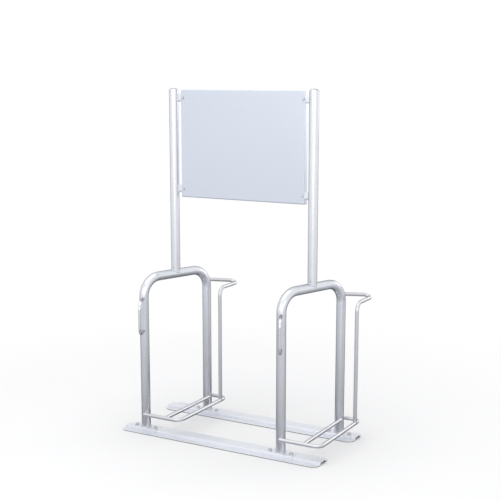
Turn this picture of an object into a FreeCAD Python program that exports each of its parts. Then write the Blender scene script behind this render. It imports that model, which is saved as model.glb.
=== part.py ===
import FreeCAD, Part
import math
import os
import Sketcher
from FreeCAD import Placement, Rotation, Vector

# A free-standing steel stand for two bicycles, with a notice board above it.
# Two ground rails carry two bent tube hoops. A post stands on each hoop, and the
# board hangs between the posts. Each hoop has a wheel holder bent from round bar
# on its right, and a lock ring on its front leg.
# Millimetres and degrees. X runs along the rails to the right, Y from front to
# back, Z up. The origin is on the ground, at the middle of the stand's bounding box.

DIMENSIONS = [
    ("tube_diameter", 48.3, "outer diameter of the hoop and post tube"),
    ("tube_wall", 2.6, "wall of that tube"),
    ("hoop_reach", 440, "from a hoop's front leg to its rear leg"),
    ("hoop_skew", 17.2, "angle of the hoops away from square to the rails"),
    ("hoop_height", 835, "height of the axis of a hoop's top bar"),
    ("hoop_bend_radius", 100, "radius of a hoop's two bends, at the axis"),
    ("rail_overhang", 118, "from a rail's left end to the left hoop's front leg"),
    ("rail_end_reach", 237, "from the right hoop's front leg to a rail's right end"),
    ("rail_width", 152, "width of a rail over both flanges"),
    ("rail_sheet", 3, "thickness of the rail's sheet"),
    ("hump_height", 14, "height of the raised middle of a rail"),
    ("hump_width", 58, "width of the raised middle, outside"),
    ("rail_bend_radius", 2, "inner radius of the bends along a rail and a saddle"),
    ("rail_corner_radius", 38, "rounding of the flange corners at a rail's ends"),
    ("saddle_length", 160, "foot saddle, along the rail"),
    ("saddle_width", 80, "foot saddle, across the rail over both its edges"),
    ("saddle_sheet", 3, "thickness of the foot saddle's sheet"),
    ("saddle_clearance", 0.5, "gap between a saddle's sides and the rail's raised middle"),
    ("saddle_corner_radius", 5, "foot saddle's rounded corners"),
    ("saddle_bolt_offset", 60, "from the leg's axis to each foot bolt"),
    ("base_bolt_diameter", 10, "foot bolts"),
    ("base_head_flats", 17, "across the flats of a foot bolt's head and nut"),
    ("base_head_height", 6.4, "foot bolt's head"),
    ("base_washer_diameter", 20, "foot bolt's washer"),
    ("base_washer_thickness", 2, "foot bolt's washer"),
    ("base_nut_height", 8, "foot bolt's nut"),
    ("hole_clearance", 1, "a bolt hole's diameter over its bolt's"),
    ("nut_clearance", 0.2, "a nut's bore over its bolt's diameter"),
    ("bolt_overrun", 1, "how far a bolt's end stands past its nut"),
    ("post_top_height", 1816, "height of the top of a post's tube"),
    ("cap_dome_height", 10, "height of a post cap's dome"),
    ("cap_rim_height", 1.5, "straight edge under the dome"),
    ("cap_spigot_length", 22, "length of the cap's plug inside the post"),
    ("cap_clearance", 0.3, "gap between the plug and the post, all round"),
    ("cap_wall", 2.5, "wall of the cap's plug"),
    ("bar_diameter", 20, "round bar of the wheel holders"),
    ("holder_height", 94, "height of the axis of the low bars"),
    ("inner_bar_offset", 144, "from a front leg's axis to the inner bar's"),
    ("wheel_slot", 70, "clear gap for the tyre, between the two long bars"),
    ("holder_bend_radius", 38, "bends of the low bar, at the axis"),
    ("bar_end_offset", 8, "from a leg's axis to the end of the low bar on it"),
    ("bar_cope", 4, "how deep a low bar is cut to sit against its leg"),
    ("upright_offset", 391, "from the front leg's axis back to the upright's"),
    ("upright_height", 738, "height of the axis of the hook on the upright"),
    ("shoulder_radius", 42, "bend at the top of the upright, at the axis"),
    ("hook_reach", 159, "from the upright back to the centre of the hook's bend"),
    ("hook_bend_radius", 21, "the hook's bend, at the axis"),
    ("hook_rise", 35, "rise of the hook from the shoulder to the leg"),
    ("ring_bar_diameter", 14, "round bar of the lock rings"),
    ("ring_reach", 132, "from the leg's axis to the ring's straight bar"),
    ("ring_top_height", 730, "height of the ring's upper arm"),
    ("ring_depth", 173, "from the upper arm down to the lower"),
    ("ring_bend_radius", 38, "the ring's bends, at the axis"),
    ("ring_turn", 24.5, "angle of the ring from straight forward towards the holder"),
    ("board_width", 730, "notice board"),
    ("board_side_gap", 47.5, "from a post's axis to the board's side edge, which spaces the hoops"),
    ("board_height", 565, "notice board"),
    ("board_depth", 30, "depth of the board's returned edges"),
    ("board_sheet", 2, "thickness of the board's sheet"),
    ("board_bend_radius", 2, "inner radius of the board's folded edges"),
    ("board_rise", 4, "from the top of a post's tube up to the board's upper edge, beside the cap"),
    ("tab_height", 40, "lug between post and board"),
    ("tab_thickness", 5, "lug between post and board"),
    ("tab_inset", 44, "from the board's upper or lower edge to the lug's middle"),
    ("tab_overlap", 21, "how far a lug reaches in behind the board"),
    ("tab_corner_radius", 5, "rounding of the lug's free corners"),
    ("tab_bolt_inset", 11, "from the board's side edge to the bolt"),
    ("notch_clearance", 1.5, "gap round the lug where it passes the board's side"),
    ("board_bolt_diameter", 8, "board bolts"),
    ("board_head_flats", 13, "across the flats of a board bolt's head and nut"),
    ("board_head_height", 5.3, "board bolt's head"),
    ("board_washer_diameter", 16, "board bolt's washer"),
    ("board_washer_thickness", 1.6, "board bolt's washer"),
    ("board_nut_height", 6.5, "board bolt's nut"),
]

SHEET = "dimensions"
doc = FreeCAD.newDocument("bicycle_stand")
sheet = doc.addObject("Spreadsheet::Sheet", SHEET)
for row, (alias, value, meaning) in enumerate(DIMENSIONS, start=1):
    sheet.set("A%d" % row, meaning)
    sheet.set("B%d" % row, str(value))
    sheet.setAlias("B%d" % row, alias)
doc.recompute()


class Size:
    """A number, kept with the sheet formula that gives it."""

    def __init__(self, number, formula):
        self.number = float(number)
        self.formula = formula

    def __add__(self, other):
        other = size(other)
        return Size(self.number + other.number, "(%s + %s)" % (self.formula, other.formula))

    def __sub__(self, other):
        other = size(other)
        return Size(self.number - other.number, "(%s - %s)" % (self.formula, other.formula))

    def __mul__(self, other):
        other = size(other)
        return Size(self.number * other.number, "(%s * %s)" % (self.formula, other.formula))

    def __truediv__(self, other):
        other = size(other)
        return Size(self.number / other.number, "(%s / %s)" % (self.formula, other.formula))

    def __neg__(self):
        return size(0) - self


def size(value):
    """The named size of the sheet, or a plain number, as a Size."""
    if isinstance(value, Size):
        return value
    if isinstance(value, str):
        return Size(sheet.get(value), "<<%s>>.%s" % (SHEET, value))
    return Size(value, repr(value))


def sine(angle):
    return Size(math.sin(math.radians(angle.number)), "sin(%s)" % angle.formula)


def cosine(angle):
    return Size(math.cos(math.radians(angle.number)), "cos(%s)" % angle.formula)


def tie(item, prop, value):
    """Bind a property to its formula in the sheet."""
    item.setExpression(prop, size(value).formula)


# Values that several pieces share, each worked out from the sheet.

tube_radius = size("tube_diameter") / 2
bore_radius = tube_radius - size("tube_wall")
bar_radius = size("bar_diameter") / 2
ring_bar_radius = size("ring_bar_diameter") / 2
rear_leg_x = size("hoop_reach") * sine(size("hoop_skew"))
rear_leg_y = size("hoop_reach") * cosine(size("hoop_skew"))
post_x = rear_leg_x / 2
post_y = rear_leg_y / 2
saddle_top = size("hump_height") + size("saddle_sheet")
hoop_spacing = size("board_width") + size("board_side_gap") * 2
rail_length = size("rail_overhang") + hoop_spacing + size("rail_end_reach")
board_base = size("post_top_height") + size("board_rise") - size("board_height")
outer_bar_offset = size("inner_bar_offset") + size("bar_diameter") + size("wheel_slot")
hook_centre_y = size("upright_offset") + size("hook_reach")
bar_stand = tube_radius + bar_radius - size("bar_cope")
front_bar_y = -bar_stand
rear_bar_y = rear_leg_y + bar_stand

# The stand's reach from the left hoop's front leg, which puts the origin in the
# middle of it: the rails' left end, the right loop, a ring in front, a hook behind.

left_reach = -size("rail_overhang")
right_reach = hoop_spacing + outer_bar_offset + bar_radius
front_reach = -(size("ring_reach") * cosine(size("ring_turn")) + ring_bar_radius)
back_reach = hook_centre_y + size("hook_bend_radius") + bar_radius
origin_x = -(left_reach + right_reach) / 2
origin_y = -(front_reach + back_reach) / 2

SIDES = [("left", size(0)), ("right", hoop_spacing)]

# Less than a hair counts as nothing, and a cutter is longer than what it cuts.

HAIR = 0.01
CUTTER_SPARE = 2
UP = Vector(0, 0, 1)
UPWARD = Rotation()
FORWARD = Rotation(Vector(1, 0, 0), 90)

pieces = []


def stand_at(item, point, rotation):
    """Put an object at a point and bind it there."""
    point = [size(value) for value in point]
    item.Placement = Placement(Vector(*[value.number for value in point]), rotation)
    for axis, value in zip("xyz", point):
        tie(item, "Placement.Base.%s" % axis, value)
    return item


def place(item, along, back=0, up=0, turn=None):
    """Set a piece at a point measured from the left hoop's front leg on the ground."""
    angle = size(0 if turn is None else turn)
    stand_at(item, (origin_x + along, origin_y + back, up), Rotation(UP, angle.number))
    if turn is not None:
        tie(item, "Placement.Rotation.Angle", angle)


def new_body(label):
    body = doc.addObject("PartDesign::Body", label)
    body.Label = label
    pieces.append(body)
    return body


def new_sketch(body, role, lift=None):
    """An empty sketch on one of the body's own origin planes, lifted off it if asked."""
    sketch = body.newObject("Sketcher::SketchObject", "%s_sketch" % body.Name)
    plane = [f for f in body.Origin.OriginFeatures if f.Role == role][0]
    sketch.AttachmentSupport = (plane, [""])
    sketch.MapMode = "FlatFace"
    if lift is not None:
        sketch.AttachmentOffset = Placement(Vector(0, 0, lift.number), Rotation())
        tie(sketch, "AttachmentOffset.Base.z", lift)
    return sketch


def constrain(sketch, kind, *what, value=None):
    """Add one constraint, bound to the sheet where it has a value."""
    if value is None:
        sketch.addConstraint(Sketcher.Constraint(kind, *what))
        return
    value = size(value)
    index = sketch.addConstraint(Sketcher.Constraint(kind, *what, value.number))
    tie(sketch, "Constraints[%d]" % index, value)


ORIGIN = (-1, 1)


def pin_point(sketch, geometry, vertex, x, y):
    """Fix a sketch point by its distances from the sketch's origin."""
    constrain(sketch, "DistanceX", *ORIGIN, geometry, vertex, value=x)
    constrain(sketch, "DistanceY", *ORIGIN, geometry, vertex, value=y)


def draw_circle(sketch, x, y, radius):
    x, y, radius = size(x), size(y), size(radius)
    centre = Vector(x.number, y.number, 0)
    index = sketch.addGeometry(Part.Circle(centre, UP, radius.number), False)
    pin_point(sketch, index, 3, x, y)
    constrain(sketch, "Radius", index, value=radius)


def counterclockwise(first, middle, last):
    """An arc through three points, given in the turning direction that a sketch keeps."""
    if (middle - first).cross(last - middle).z < 0:
        first, last = last, first
    return Part.Arc(first, middle, last)


def corner_arc(before, corner, after, radius):
    """The arc that rounds a corner: its two ends and its middle."""
    towards = (before - corner).normalize()
    onwards = (after - corner).normalize()
    half = towards.getAngle(onwards) / 2
    reach = radius / math.tan(half)
    centre = corner + (towards + onwards).normalize() * (radius / math.sin(half))
    middle = centre + (corner - centre).normalize() * radius
    return corner + towards * reach, middle, corner + onwards * reach


def draw_path(sketch, corners, radii, closed=False):
    """Straight lines from corner to corner, with an arc in each corner that has a radius.

    A construction point marks each corner, and each line is held on its two corners.
    """
    corners = [(size(x), size(y)) for x, y in corners]
    spots = [Vector(x.number, y.number, 0) for x, y in corners]
    count = len(spots)
    if not closed:
        radii = [0] + list(radii) + [0]
    radii = [size(r) for r in radii]
    starts = list(spots)
    ends = list(spots)
    arcs = {}
    for i in range(count):
        if radii[i].number > 0:
            onward = spots[(i + 1) % count]
            first, middle, last = corner_arc(spots[i - 1], spots[i], onward, radii[i].number)
            ends[i], starts[i] = first, last
            arcs[i] = counterclockwise(first, middle, last)
    lines = []
    for i in range(count if closed else count - 1):
        lines.append(sketch.addGeometry(Part.LineSegment(starts[i], ends[(i + 1) % count]), False))
    marks = []
    for spot, (x, y) in zip(spots, corners):
        mark = sketch.addGeometry(Part.Point(spot), True)
        pin_point(sketch, mark, 1, x, y)
        marks.append(mark)
    for i in range(count):
        before = lines[i - 1] if closed or i > 0 else None
        after = lines[i] if i < len(lines) else None
        if i in arcs:
            arc = sketch.addGeometry(arcs[i], False)
            curve = sketch.Geometry[arc]
            if curve.StartPoint.distanceToPoint(ends[i]) < curve.EndPoint.distanceToPoint(ends[i]):
                near, far = 1, 2
            else:
                near, far = 2, 1
            constrain(sketch, "Tangent", before, 2, arc, near)
            constrain(sketch, "Tangent", after, 1, arc, far)
            constrain(sketch, "Radius", arc, value=radii[i])
            constrain(sketch, "PointOnObject", marks[i], 1, before)
            constrain(sketch, "PointOnObject", marks[i], 1, after)
        else:
            if before is not None:
                constrain(sketch, "Coincident", before, 2, marks[i], 1)
            if after is not None:
                constrain(sketch, "Coincident", after, 1, marks[i], 1)


def draw_rectangle(sketch, low, high, radius=0):
    """A rectangle between two corners, with the same rounding in all four."""
    corners = [low, (high[0], low[1]), high, (low[0], high[1])]
    draw_path(sketch, corners, [radius] * 4, closed=True)


def pad(body, sketch, length, middle=False, reverse=False):
    feature = body.newObject("PartDesign::Pad", "%s_pad" % body.Name)
    feature.Profile = sketch
    feature.Reversed = reverse
    feature.SideType = "Symmetric" if middle else "One side"
    tie(feature, "Length", length)
    doc.recompute()
    return feature


def pocket(body, sketch, length=None, reverse=False, middle=False):
    """Cut a sketch out of the body. It must take something away."""
    before = body.Shape.Volume
    feature = body.newObject("PartDesign::Pocket", "%s_pocket" % body.Name)
    feature.Profile = sketch
    feature.Reversed = reverse
    feature.SideType = "Symmetric" if middle else "One side"
    if length is None:
        feature.Type = "ThroughAll"
    else:
        tie(feature, "Length", length)
    doc.recompute()
    if body.Shape.Volume > before - HAIR:
        raise ValueError("a pocket of %s cuts nothing" % body.Label)
    return feature


def fillet(body, feature, wanted, radius):
    """Round the edges of a feature that the test picks out."""
    names = ["Edge%d" % n for n, edge in enumerate(feature.Shape.Edges, start=1) if wanted(edge)]
    if not names:
        raise ValueError("no edge to round on %s" % body.Label)
    rounding = body.newObject("PartDesign::Fillet", "%s_fillet" % body.Name)
    rounding.Base = (feature, names)
    tie(rounding, "Radius", radius)
    doc.recompute()
    return rounding


def upright_edge(edge):
    """Whether an edge is straight and stands along Z."""
    if len(edge.Vertexes) != 2:
        return False
    along = edge.Vertexes[1].Point - edge.Vertexes[0].Point
    return math.hypot(along.x, along.y) < HAIR


def sweep(body, profile, path):
    """Bend the profile along the path, as a bar or tube is bent."""
    feature = body.newObject("PartDesign::AdditivePipe", "%s_sweep" % body.Name)
    feature.Profile = profile
    feature.Spine = (path, ["Edge%d" % n for n in range(1, len(path.Shape.Edges) + 1)])
    doc.recompute()
    return feature


def hat_section(label, length, width, middle, low, high, sheet_t, corner):
    """Sheet bent to a hat: two flanges and a raised middle, its flange corners rounded."""
    body = new_body(label)
    half = width / 2
    hump = middle / 2
    inner = size("rail_bend_radius")
    outer = inner + sheet_t
    profile = new_sketch(body, "YZ_Plane")
    wall = hump - sheet_t
    corners = [
        (-half, low), (-wall, low), (-wall, high - sheet_t), (wall, high - sheet_t), (wall, low),
        (half, low), (half, low + sheet_t), (hump, low + sheet_t), (hump, high), (-hump, high),
        (-hump, low + sheet_t), (-half, low + sheet_t),
    ]
    bends = [0, outer, inner, inner, outer, 0, 0, inner, outer, outer, inner, 0]
    draw_path(profile, corners, bends, closed=True)
    sheet_pad = pad(body, profile, length)
    flange_edge = half.number - HAIR

    def flange_corner(edge):
        return upright_edge(edge) and abs(edge.Vertexes[0].Y) > flange_edge

    fillet(body, sheet_pad, flange_corner, corner)
    return body


def foot_bolt_holes(body, middles):
    """A pair of holes, before and behind each middle along the sheet."""
    holes = new_sketch(body, "XY_Plane")
    radius = (size("base_bolt_diameter") + size("hole_clearance")) / 2
    for middle in middles:
        for side in (-1, 1):
            draw_circle(holes, middle + size("saddle_bolt_offset") * side, 0, radius)
    pocket(body, holes, reverse=True)


def ground_rail(label, back, first_leg_x):
    """Hat-section rail with a pair of bolt holes for each of its two saddles."""
    body = hat_section(
        label, rail_length, size("rail_width"), size("hump_width"), size(0), size("hump_height"),
        size("rail_sheet"), size("rail_corner_radius"),
    )
    foot_bolt_holes(body, [size("rail_overhang") + first_leg_x + hoop_x for name, hoop_x in SIDES])
    place(body, left_reach, back)


def foot_saddle(label, along, back):
    """Sheet bent over the rail's raised middle under a leg, resting on top and flanges."""
    length = size("saddle_length")
    sheet_t = size("saddle_sheet")
    middle = size("hump_width") + (size("saddle_clearance") + sheet_t) * 2
    body = hat_section(
        label, length, size("saddle_width"), middle, size("rail_sheet"), saddle_top,
        sheet_t, size("saddle_corner_radius"),
    )
    foot_bolt_holes(body, [length / 2])
    place(body, along - length / 2, back)


def hoop(label, along):
    """One tube bent twice, its legs standing on the foot saddles."""
    body = new_body(label)
    rise = size("hoop_height") - saddle_top
    path = new_sketch(body, "XZ_Plane")
    corners = [(0, 0), (0, rise), (size("hoop_reach"), rise), (size("hoop_reach"), 0)]
    draw_path(path, corners, [size("hoop_bend_radius")] * 2)
    profile = new_sketch(body, "XY_Plane")
    draw_circle(profile, 0, 0, tube_radius)
    draw_circle(profile, 0, 0, bore_radius)
    doc.recompute()
    sweep(body, profile, path)
    place(body, along, 0, saddle_top, size(90) - size("hoop_skew"))


def post(label, along):
    """Upright tube, cut at the foot to sit round the hoop's top bar."""
    body = new_body(label)
    profile = new_sketch(body, "XY_Plane")
    draw_circle(profile, 0, 0, tube_radius)
    draw_circle(profile, 0, 0, bore_radius)
    pad(body, profile, size("post_top_height") - size("hoop_height"))
    saddle = new_sketch(body, "YZ_Plane")
    draw_circle(saddle, 0, 0, tube_radius)
    pocket(body, saddle, size("tube_diameter") * CUTTER_SPARE, middle=True)
    place(body, along + post_x, post_y, size("hoop_height"), size(90) - size("hoop_skew"))


def post_cap(label, along):
    """Domed cap, hollow inside, with a plug that goes down into the post."""
    body = new_body(label)
    profile = new_sketch(body, "XZ_Plane")
    rim = size("cap_rim_height")
    top = rim + size("cap_dome_height")
    plug = bore_radius - size("cap_clearance")
    inside = plug - size("cap_wall")
    drop = -size("cap_spigot_length")
    spots = [
        (0, top), (0, top - size("cap_wall")), (inside, 0), (inside, drop), (plug, drop), (plug, 0),
        (tube_radius, 0), (tube_radius, rim),
    ]
    spots = [(size(x), size(y)) for x, y in spots]
    for start, end in zip(spots[:-1], spots[1:]):
        ends = [Vector(x.number, y.number, 0) for x, y in (start, end)]
        line = profile.addGeometry(Part.LineSegment(*ends), False)
        pin_point(profile, line, 1, *start)
        pin_point(profile, line, 2, *end)
    rise = size("cap_dome_height").number
    sphere = (tube_radius.number ** 2 + rise ** 2) / (2 * rise)
    lean = math.asin(tube_radius.number / sphere) / 2
    crest = Vector(0, top.number, 0)
    waist = crest + Vector(sphere * math.sin(lean), sphere * (math.cos(lean) - 1), 0)
    edge = Vector(tube_radius.number, rim.number, 0)
    dome = profile.addGeometry(counterclockwise(edge, waist, crest), False)
    constrain(profile, "Coincident", line, 2, dome, 1)
    constrain(profile, "Coincident", 0, 1, dome, 2)
    constrain(profile, "PointOnObject", dome, 3, -2)
    turned = body.newObject("PartDesign::Revolution", "%s_turned" % body.Name)
    turned.Profile = profile
    turned.ReferenceAxis = (profile, ["V_Axis"])
    turned.Angle = 360
    doc.recompute()
    place(body, along + post_x, post_y, size("post_top_height"))


def wheel_loop(label, along):
    """Bar bent round three sides, its ends cut to lie against the front and rear legs."""
    body = new_body(label)
    start = size("bar_end_offset")
    across = rear_bar_y - front_bar_y
    path = new_sketch(body, "XY_Plane")
    corners = [
        (0, 0), (outer_bar_offset - start, 0), (outer_bar_offset - start, across), (rear_leg_x, across),
    ]
    draw_path(path, corners, [size("holder_bend_radius")] * 2)
    profile = new_sketch(body, "YZ_Plane")
    draw_circle(profile, 0, 0, bar_radius)
    doc.recompute()
    sweep(body, profile, path)
    copes = new_sketch(body, "XY_Plane")
    draw_circle(copes, -start, bar_stand, tube_radius)
    draw_circle(copes, rear_leg_x - start, across - bar_stand, tube_radius)
    pocket(body, copes, size("bar_diameter") * CUTTER_SPARE, middle=True)
    place(body, along + start, front_bar_y, size("holder_height"))


def inner_bar(label, along):
    """Straight bar, coped at its front end to the loop and at its back end to the rear leg."""
    body = new_body(label)
    profile = new_sketch(body, "XZ_Plane")
    draw_circle(profile, 0, 0, bar_radius)
    pad(body, profile, rear_leg_y - front_bar_y, reverse=True)
    front_cope = new_sketch(body, "YZ_Plane")
    draw_circle(front_cope, 0, 0, bar_radius)
    pocket(body, front_cope, size("bar_diameter") * CUTTER_SPARE, middle=True)
    rear_cope = new_sketch(body, "XY_Plane")
    draw_circle(rear_cope, rear_leg_x - size("inner_bar_offset"), rear_leg_y - front_bar_y, tube_radius)
    pocket(body, rear_cope, size("bar_diameter") * CUTTER_SPARE, middle=True)
    place(body, along + size("inner_bar_offset"), front_bar_y, size("holder_height"))


def hook_wire(leg_x, leg_y):
    """The upright's line: up, back over the shoulder, round the hook and home to the leg.

    It starts at the origin, on the low bar's axis. The leg is given from there. The hook
    lies in a plane that rises from the shoulder's level line to the leg.
    """
    top = (size("upright_height") - size("holder_height")).number
    shoulder = size("shoulder_radius").number
    reach = size("hook_reach").number
    bend = size("hook_bend_radius").number
    across = Vector(leg_x.number, 0, size("hook_rise").number)
    width = across.Length
    across.normalize()
    back = Vector(0, 1, 0)
    centre = Vector(0, reach, top) + across * bend
    home = Vector(0, leg_y.number, top) + across * width
    to_leg = math.atan2(leg_y.number - reach, bend - width) % (2 * math.pi)
    turn = to_leg - math.acos(bend / math.hypot(leg_y.number - reach, bend - width))

    def on_shoulder(angle):
        return Vector(0, shoulder * (1 - math.cos(angle)), top - shoulder * (1 - math.sin(angle)))

    def on_hook(angle):
        return centre - across * (bend * math.cos(angle)) + back * (bend * math.sin(angle))

    edges = [
        Part.LineSegment(Vector(0, 0, 0), on_shoulder(0)),
        Part.Arc(on_shoulder(0), on_shoulder(math.pi / 4), on_shoulder(math.pi / 2)),
        Part.LineSegment(on_shoulder(math.pi / 2), on_hook(0)),
        Part.Arc(on_hook(0), on_hook(turn / 2), on_hook(turn)),
        Part.LineSegment(on_hook(turn), home),
    ]
    return Part.Wire([edge.toShape() for edge in edges])


def upright(label, along):
    """Bar standing on the loop, its top bent back into a hook and returned to the rear leg.

    Its foot is coped to the loop's long bar and its end to the bend of the hoop.
    """
    leg_x = rear_leg_x - outer_bar_offset
    leg_y = rear_leg_y - size("upright_offset")
    line = doc.addObject("Part::Feature", "%s_line" % label)
    line.Shape = hook_wire(leg_x, leg_y)
    section = doc.addObject("Part::Circle", "%s_section" % label)
    tie(section, "Radius", bar_radius)
    doc.recompute()
    bar = doc.addObject("Part::Sweep", "%s_bar" % label)
    bar.Sections = [section]
    bar.Spine = (line, ["Edge%d" % n for n in range(1, len(line.Shape.Edges) + 1)])
    bar.Solid = True
    low_bar = doc.addObject("Part::Cylinder", "%s_low_bar" % label)
    stand_at(low_bar, (0, size("bar_diameter"), 0), FORWARD)
    tie(low_bar, "Radius", bar_radius)
    tie(low_bar, "Height", size("bar_diameter") * CUTTER_SPARE)
    skew = size("hoop_skew")
    bend = size("hoop_bend_radius")
    bend_centre = (
        leg_x - bend * sine(skew), leg_y - bend * cosine(skew),
        size("hoop_height") - bend - size("holder_height"),
    )
    hoop_bend = doc.addObject("Part::Torus", "%s_hoop_bend" % label)
    tie(hoop_bend, "Radius1", bend)
    tie(hoop_bend, "Radius2", tube_radius)
    square_to_hoop = Vector(cosine(skew).number, -sine(skew).number, 0)
    stand_at(hoop_bend, bend_centre, Rotation(UP, square_to_hoop))
    footed = doc.addObject("Part::Cut", "%s_footed" % label)
    footed.Base = bar
    footed.Tool = low_bar
    coped = doc.addObject("Part::Cut", label)
    coped.Label = label
    coped.Base = footed
    coped.Tool = hoop_bend
    pieces.append(coped)
    place(coped, along + outer_bar_offset, size("upright_offset"), size("holder_height"))


def lock_ring(label, along):
    """Bar bent to a D, both ends coped to the front leg."""
    body = new_body(label)
    reach = size("ring_reach")
    drop = -size("ring_depth")
    path = new_sketch(body, "XZ_Plane")
    draw_path(path, [(0, 0), (reach, 0), (reach, drop), (0, drop)], [size("ring_bend_radius")] * 2)
    profile = new_sketch(body, "YZ_Plane")
    draw_circle(profile, 0, 0, ring_bar_radius)
    doc.recompute()
    sweep(body, profile, path)
    cope = new_sketch(body, "XY_Plane")
    draw_circle(cope, 0, 0, tube_radius)
    pocket(body, cope, (size("ring_depth") + size("ring_bar_diameter")) * CUTTER_SPARE, middle=True)
    place(body, along, 0, size("ring_top_height"), size("ring_turn") - 90)


# The board hangs on lugs in the plane of the posts' axes, its face just in front of them.

face_y = post_y - size("tab_thickness") / 2 - size("board_sheet")
tab_heights = [size("board_height") - size("tab_inset"), size("tab_inset")]


def notice_board():
    """Sheet tray: a flat face with four returned edges, notched at its sides for the lugs."""
    body = new_body("notice_board")
    width = size("board_width")
    height = size("board_height")
    sheet_t = size("board_sheet")
    outline = new_sketch(body, "XZ_Plane")
    draw_rectangle(outline, (0, 0), (width, height))
    block = pad(body, outline, size("board_depth"), reverse=True)
    fillet(body, block, lambda e: all(v.Y < HAIR for v in e.Vertexes), size("board_bend_radius") + sheet_t)
    hollow = new_sketch(body, "XZ_Plane", -sheet_t)
    inside = (width - sheet_t, height - sheet_t)
    draw_rectangle(hollow, (sheet_t, sheet_t), inside, size("board_bend_radius"))
    pocket(body, hollow)
    holes = new_sketch(body, "XZ_Plane")
    radius = (size("board_bolt_diameter") + size("hole_clearance")) / 2
    notches = new_sketch(body, "YZ_Plane")
    reach = size("tab_height") / 2 + size("notch_clearance")
    back = sheet_t + size("tab_thickness") + size("notch_clearance")
    for middle in tab_heights:
        draw_circle(holes, size("tab_bolt_inset"), middle, radius)
        draw_circle(holes, width - size("tab_bolt_inset"), middle, radius)
        draw_rectangle(notches, (sheet_t, middle - reach), (back, middle + reach))
    pocket(body, holes, sheet_t)
    pocket(body, notches, reverse=True)
    place(body, post_x + size("board_side_gap"), face_y, board_base)


def board_tab(label, hoop_x, inward, middle):
    """Flat lug on a post, reaching in behind the board's face, with a bolt hole."""
    body = new_body(label)
    outline = new_sketch(body, "XZ_Plane")
    length = (size("board_side_gap") + size("tab_overlap")) * inward
    half = size("tab_height") / 2
    corners = [(0, -half), (length, -half), (length, half), (0, half)]
    rounding = size("tab_corner_radius")
    draw_path(outline, corners, [0, rounding, rounding, 0], closed=True)
    hole_x = (size("board_side_gap") + size("tab_bolt_inset")) * inward
    draw_circle(outline, hole_x, 0, (size("board_bolt_diameter") + size("hole_clearance")) / 2)
    pad(body, outline, size("tab_thickness"), middle=True)
    cope = new_sketch(body, "XY_Plane")
    draw_circle(cope, 0, 0, tube_radius)
    pocket(body, cope, size("tab_height") * CUTTER_SPARE, middle=True)
    place(body, hoop_x + post_x, post_y, board_base + middle)


def rod(spot, radius, length, forward):
    """Round rod from a spot, upwards or, if forward, towards the front."""
    item = doc.addObject("Part::Cylinder", "rod")
    tie(item, "Radius", radius)
    tie(item, "Height", length)
    return stand_at(item, spot, FORWARD if forward else UPWARD)


def hexagon(spot, flats, length, forward):
    """Six-sided rod, the same way."""
    item = doc.addObject("Part::Prism", "hexagon")
    item.Polygon = 6
    tie(item, "Circumradius", flats / (cosine(size(30)) * 2))
    tie(item, "Height", length)
    return stand_at(item, spot, FORWARD if forward else UPWARD)


def group(label, solids, bores=None):
    """Like fasteners in one node, each a solid of its own."""
    joined = doc.addObject("Part::MultiFuse", label if bores is None else "%s_blanks" % label)
    joined.Shapes = solids
    if bores is not None:
        holes = doc.addObject("Part::MultiFuse", "%s_bores" % label)
        holes.Shapes = bores
        blanks = joined
        joined = doc.addObject("Part::Cut", label)
        joined.Base = blanks
        joined.Tool = holes
    joined.Label = label
    pieces.append(joined)
    place(joined, size(0))


def fasteners(name, spots, grip, forward):
    """A bolt with a washer under its head and a nut on its far end, at each spot.

    A spot is on the face that the washer lies on. The grip is what the bolt holds.
    """
    shank = size(name + "_bolt_diameter")
    flats = size(name + "_head_flats")
    washer = size(name + "_washer_thickness")
    nut = size(name + "_nut_height")
    nut_bore = (shank + size("nut_clearance")) / 2
    washer_bore = (shank + size("hole_clearance")) / 2
    below = grip + nut + size("bolt_overrun")
    bolts, discs, eyes, nuts, threads = [], [], [], [], []

    def along(spot, distance):
        x, y, z = [size(value) for value in spot]
        if forward:
            return (x, y - distance, z)
        return (x, y, z + distance)

    for spot in spots:
        head = hexagon(along(spot, washer), flats, size(name + "_head_height"), forward)
        bolts += [head, rod(along(spot, -below), shank / 2, below + washer, forward)]
        discs.append(rod(spot, size(name + "_washer_diameter") / 2, washer, forward))
        eyes.append(rod(spot, washer_bore, washer, forward))
        nuts.append(hexagon(along(spot, -(grip + nut)), flats, nut, forward))
        threads.append(rod(along(spot, -(grip + nut)), nut_bore, nut, forward))
    group(name + "_bolts", bolts)
    group(name + "_washers", discs, eyes)
    group(name + "_nuts", nuts, threads)


ground_rail("front_rail", size(0), size(0))
ground_rail("rear_rail", rear_leg_y, rear_leg_x)

base_spots = []
board_spots = []
for side, hoop_x in SIDES:
    for end, leg_x, leg_y in (("front", size(0), size(0)), ("rear", rear_leg_x, rear_leg_y)):
        foot_saddle("%s_%s_saddle" % (side, end), hoop_x + leg_x, leg_y)
        for sign in (-1, 1):
            base_spots.append((hoop_x + leg_x + size("saddle_bolt_offset") * sign, leg_y, saddle_top))
    hoop("%s_hoop" % side, hoop_x)
    post("%s_post" % side, hoop_x)
    post_cap("%s_post_cap" % side, hoop_x)
    wheel_loop("%s_wheel_loop" % side, hoop_x)
    inner_bar("%s_inner_bar" % side, hoop_x)
    upright("%s_upright" % side, hoop_x)
    lock_ring("%s_lock_ring" % side, hoop_x)
    inward = 1 if side == "left" else -1
    for level, middle in zip(("top", "bottom"), tab_heights):
        board_tab("%s_%s_tab" % (side, level), hoop_x, inward, middle)
        bolt_x = hoop_x + post_x + (size("board_side_gap") + size("tab_bolt_inset")) * inward
        board_spots.append((bolt_x, face_y, board_base + middle))
notice_board()
fasteners("base", base_spots, size("saddle_sheet") + size("rail_sheet"), forward=False)
fasteners("board", board_spots, size("board_sheet") + size("tab_thickness"), forward=True)

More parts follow.
